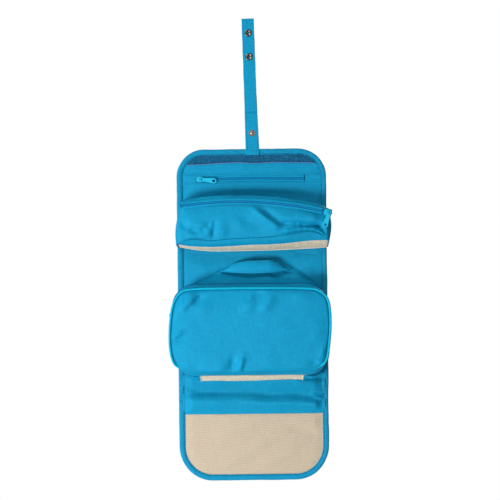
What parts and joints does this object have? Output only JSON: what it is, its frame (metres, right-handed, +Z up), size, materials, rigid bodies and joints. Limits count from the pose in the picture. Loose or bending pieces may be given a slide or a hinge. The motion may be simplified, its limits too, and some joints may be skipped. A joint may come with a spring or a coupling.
{
  "type": "hanging toiletry bag",
  "caption": "Fold-out hanging toiletry bag with a snap strap, a flat zip pocket, a swinging zip pouch, a zipped box pouch with a grab handle, and a rounded end flap.",
  "frame": {"origin": "middle of the strap's fold line, where the strap lies over a hook or rail", "axes": "+Z up along the hanging bag, +X to the right seen from the open side, the open side faces -Y"},
  "size_m": [0.2654, 0.0541, 0.7572],
  "materials": {
    "shell_fabric": "matt plain-weave nylon, bright blue",
    "lining_fabric": "matt plain-weave nylon, bright blue",
    "beige_fabric": "matt fine weave, warm beige",
    "foam_padding": "thin foam wadding",
    "binding_tape": "folded woven tape",
    "piping": "corded piping, bright cyan",
    "zip_tape": "woven zip tape, cyan",
    "zip_coil": "nylon coil, dark teal blue",
    "painted_zip_metal": "semi-gloss cyan paint",
    "strap_webbing": "folded and topstitched fabric strap",
    "snap_metal": "nickel-plated brass",
    "loop_fastener": "brushed loop pile, darker blue",
    "hook_fastener": "moulded hooks, darker blue"
  },
  "bodies": {
    "top_section": {"top_shell": "shell_fabric", "top_padding": "foam_padding", "top_lining": "lining_fabric", "top_pocket_bag": "lining_fabric", "top_binding": "binding_tape", "loop_tape": "loop_fastener", "top_zip_tabs": "lining_fabric", "pouch_hanger_tape": "shell_fabric", "top_tape_upper": "zip_tape", "top_tape_lower": "zip_tape", "top_coil_upper": "zip_coil", "top_coil_lower": "zip_coil", "strap_lower": "strap_webbing", "strap_upper_tail": "strap_webbing", "snap_stud": "snap_metal", "snap_stud_rivet": "snap_metal"},
    "strap_end": {"strap_upper": "strap_webbing", "snap_sockets": "snap_metal", "snap_caps": "snap_metal"},
    "top_zip_slider": {"top_slider": "painted_zip_metal"},
    "top_zip_puller": {"top_puller": "painted_zip_metal"},
    "pouch_body": {"pouch_back": "shell_fabric", "pouch_top": "shell_fabric", "pouch_base": "beige_fabric", "pouch_sides": "shell_fabric", "pouch_tape_upper": "zip_tape", "pouch_coil_upper": "zip_coil"},
    "pouch_mouth": {"pouch_front": "shell_fabric", "pouch_tape_lower": "zip_tape", "pouch_coil_lower": "zip_coil", "pouch_zip_end": "zip_tape"},
    "pouch_zip_slider": {"pouch_slider": "painted_zip_metal"},
    "pouch_zip_puller": {"pouch_puller": "painted_zip_metal"},
    "mid_section": {"mid_shell": "shell_fabric", "mid_padding": "foam_padding", "mid_lining": "lining_fabric", "mid_bindings": "binding_tape", "box_gusset": "shell_fabric", "box_base": "beige_fabric", "box_tape": "zip_tape", "box_coil": "zip_coil", "box_zip_tabs": "lining_fabric", "box_handle": "shell_fabric"},
    "box_lid": {"lid_face": "shell_fabric", "lid_gusset": "shell_fabric", "lid_piping": "piping", "lid_tape": "zip_tape", "lid_coil": "zip_coil", "lid_hinge_strip": "beige_fabric"},
    "box_zip_slider": {"lid_slider": "painted_zip_metal"},
    "box_zip_puller": {"lid_puller": "painted_zip_metal"},
    "spine": {"spine_shell": "shell_fabric", "spine_padding": "foam_padding", "spine_lining": "lining_fabric", "spine_bindings": "binding_tape"},
    "flap": {"flap_shell": "shell_fabric", "flap_padding": "foam_padding", "flap_lining": "beige_fabric", "flap_binding": "binding_tape", "hook_tape": "hook_fastener"}
  },
  "joints": [
    {"name": "strap_fold", "type": "hinge", "parent": "top_section", "child": "strap_end", "pos_m": [0, -0.00265, 0], "axis": [0.9997, 0, 0.0262], "range_deg": [0, 180]},
    {"name": "top_zip_slide", "type": "slide", "parent": "top_section", "child": "top_zip_slider", "axis": [1, 0, 0], "range_m": [0, 0.165]},
    {"name": "top_puller_swing", "type": "hinge", "parent": "top_zip_slider", "child": "top_zip_puller", "pos_m": [-0.082, 0.0023, -0.1375], "axis": [0, -1, 0], "range_deg": [-83, 97]},
    {"name": "pouch_swing", "type": "hinge", "parent": "top_section", "child": "pouch_body", "pos_m": [0, 0.0002, -0.1658], "axis": [1, 0, 0], "range_deg": [-75, 0]},
    {"name": "pouch_mouth_open", "type": "hinge", "parent": "pouch_body", "child": "pouch_mouth", "pos_m": [0, -0.0253, -0.23991], "axis": [-1, 0, 0], "range_deg": [-20, 0]},
    {"name": "pouch_zip_slide", "type": "hinge", "parent": "pouch_mouth", "child": "pouch_zip_slider", "pos_m": [-0.029, -0.035, -0.7973], "axis": [0, 1, 0], "range_deg": [-21.5, 0]},
    {"name": "pouch_puller_swing", "type": "hinge", "parent": "pouch_zip_slider", "child": "pouch_zip_puller", "pos_m": [0.12402, -0.035, -0.19544], "axis": [0, -1, 0], "range_deg": [-25, 90]},
    {"name": "upper_fold", "type": "hinge", "parent": "top_section", "child": "mid_section", "pos_m": [0, 0.0009, -0.268], "axis": [-1, 0, 0], "range_deg": [0, 75]},
    {"name": "lid_open", "type": "hinge", "parent": "mid_section", "child": "box_lid", "pos_m": [0, -0.029, -0.4608], "axis": [-1, 0, 0], "range_deg": [-105, 0]},
    {"name": "box_zip_slide", "type": "slide", "parent": "mid_section", "child": "box_zip_slider", "axis": [0, 0, 1], "range_m": [-0.0535, 0.0045]},
    {"name": "box_puller_swing", "type": "hinge", "parent": "box_zip_slider", "child": "box_zip_puller", "pos_m": [-0.129, -0.029, -0.3606], "axis": [-1, 0, 0], "range_deg": [-90, 90]},
    {"name": "lower_fold", "type": "hinge", "parent": "mid_section", "child": "spine", "pos_m": [0, 0.0009, -0.4695], "axis": [-1, 0, 0], "range_deg": [0, 90]},
    {"name": "flap_fold", "type": "hinge", "parent": "spine", "child": "flap", "pos_m": [0, 0.0009, -0.523], "axis": [-1, 0, 0], "range_deg": [0, 90]}
  ]
}
